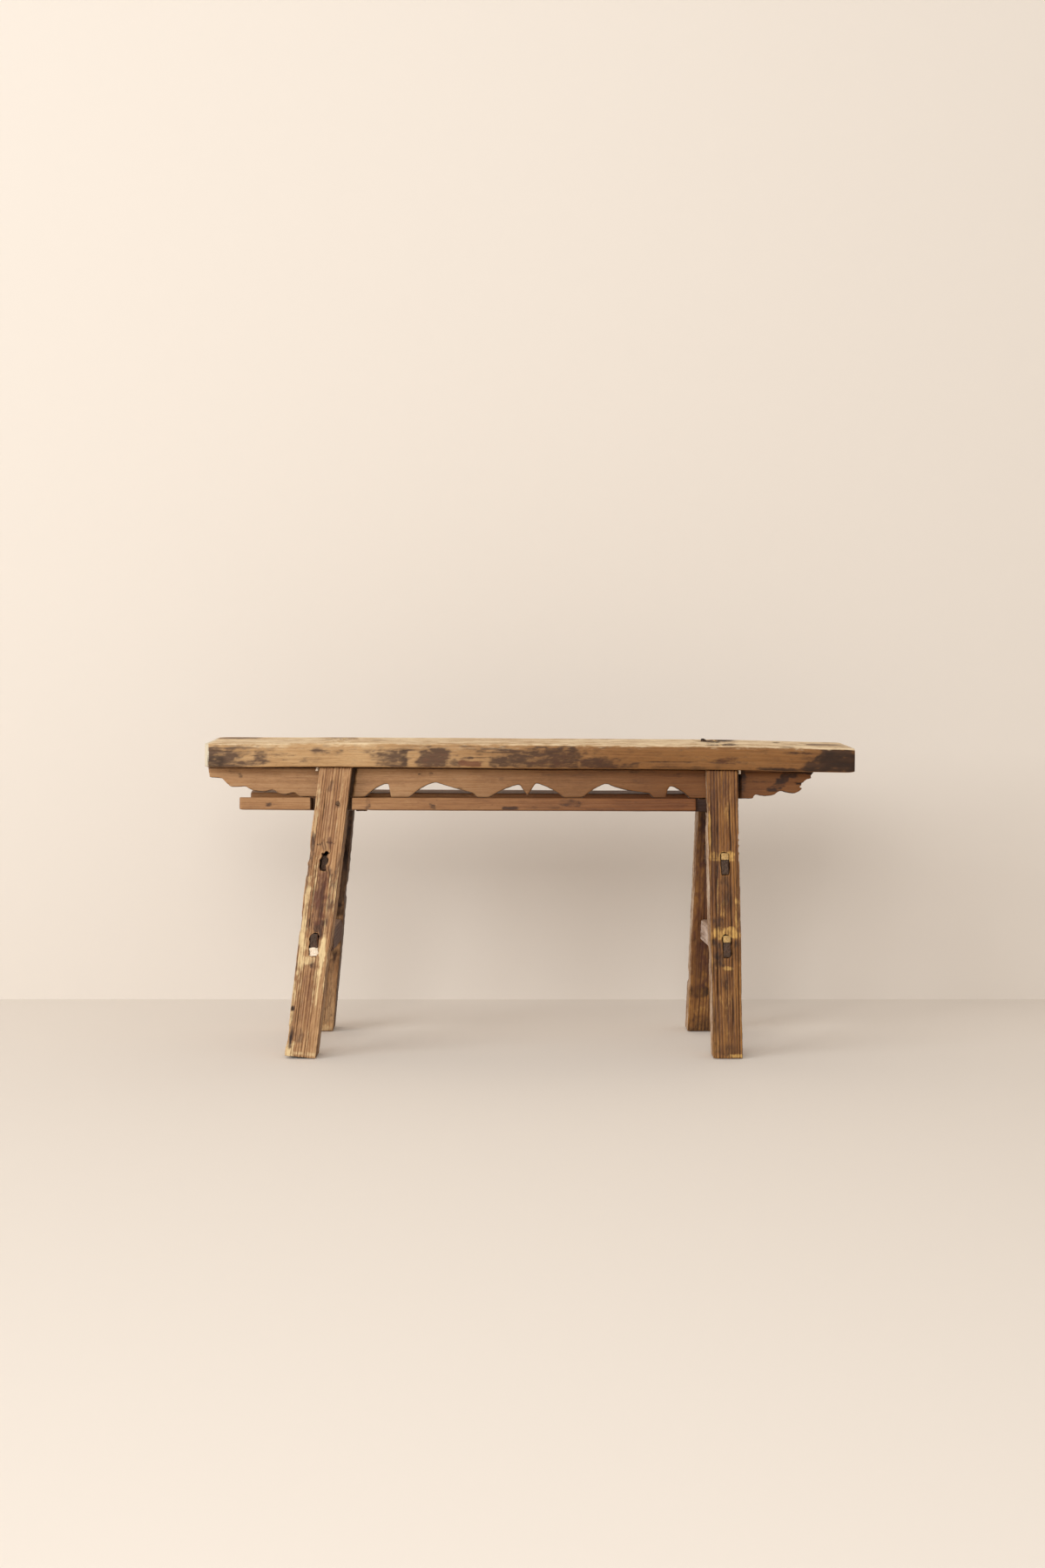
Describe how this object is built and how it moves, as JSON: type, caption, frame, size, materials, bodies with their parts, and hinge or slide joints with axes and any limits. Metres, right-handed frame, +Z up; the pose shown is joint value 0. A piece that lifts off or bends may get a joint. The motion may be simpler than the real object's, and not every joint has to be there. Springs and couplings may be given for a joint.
{
  "type": "wooden bench",
  "caption": "Old wooden bench with a thick plank seat on four splayed legs, sawn aprons, rails under them and stretchers across both ends.",
  "frame": {"origin": "on the floor, under the middle of the bench", "axes": "+X to the right along the seat, +Y to the back, +Z up"},
  "size_m": [1.0422, 0.279, 0.5036],
  "materials": {
    "seat_wood": "old softwood, rubbed pale on top, with dark grime on the edges",
    "leg_wood_light": "weathered ridged grain, pale worn stretches and purple-brown stain",
    "leg_wood_dark": "weathered ridged grain, dark golden brown",
    "apron_wood": "smooth aged board, satin, darker to the right",
    "rail_wood": "orange-brown, satin, with dark marks",
    "stretcher_wood": "dull grey-brown, worn on the edges",
    "wedge_wood": "pale dry end grain",
    "peg_wood": "dark end grain"
  },
  "bodies": {
    "root": {"seat_plank": "seat_wood", "leg_front_left": "leg_wood_light", "leg_front_right": "leg_wood_dark", "leg_back_left": "leg_wood_light", "leg_back_right": "leg_wood_dark", "apron_front": "apron_wood", "apron_back": "apron_wood", "rail_front": "rail_wood", "rail_back": "rail_wood", "cross_batten": "rail_wood", "rail_peg_front": "peg_wood", "rail_peg_back": "peg_wood", "leg_shim_front_left": "wedge_wood", "leg_shim_front_right": "wedge_wood", "stretcher_left_upper": "stretcher_wood", "stretcher_left_lower": "stretcher_wood", "stretcher_right_upper": "stretcher_wood", "stretcher_right_lower": "stretcher_wood", "stretcher_wedge_left_upper_back": "wedge_wood", "stretcher_wedge_left_lower_front": "wedge_wood", "stretcher_wedge_left_lower_back": "wedge_wood", "stretcher_wedge_right_upper_front": "wedge_wood", "stretcher_wedge_right_upper_back": "wedge_wood", "stretcher_wedge_right_lower_front": "wedge_wood", "stretcher_wedge_right_lower_back": "wedge_wood", "seat_wedge_front_left_outer": "wedge_wood", "seat_wedge_front_left_inner": "wedge_wood", "seat_wedge_front_right_outer": "wedge_wood", "seat_wedge_front_right_inner": "wedge_wood", "seat_wedge_back_left_outer": "wedge_wood", "seat_wedge_back_left_inner": "wedge_wood", "seat_wedge_back_right_outer": "wedge_wood", "seat_wedge_back_right_inner": "wedge_wood"}
  },
  "joints": []
}
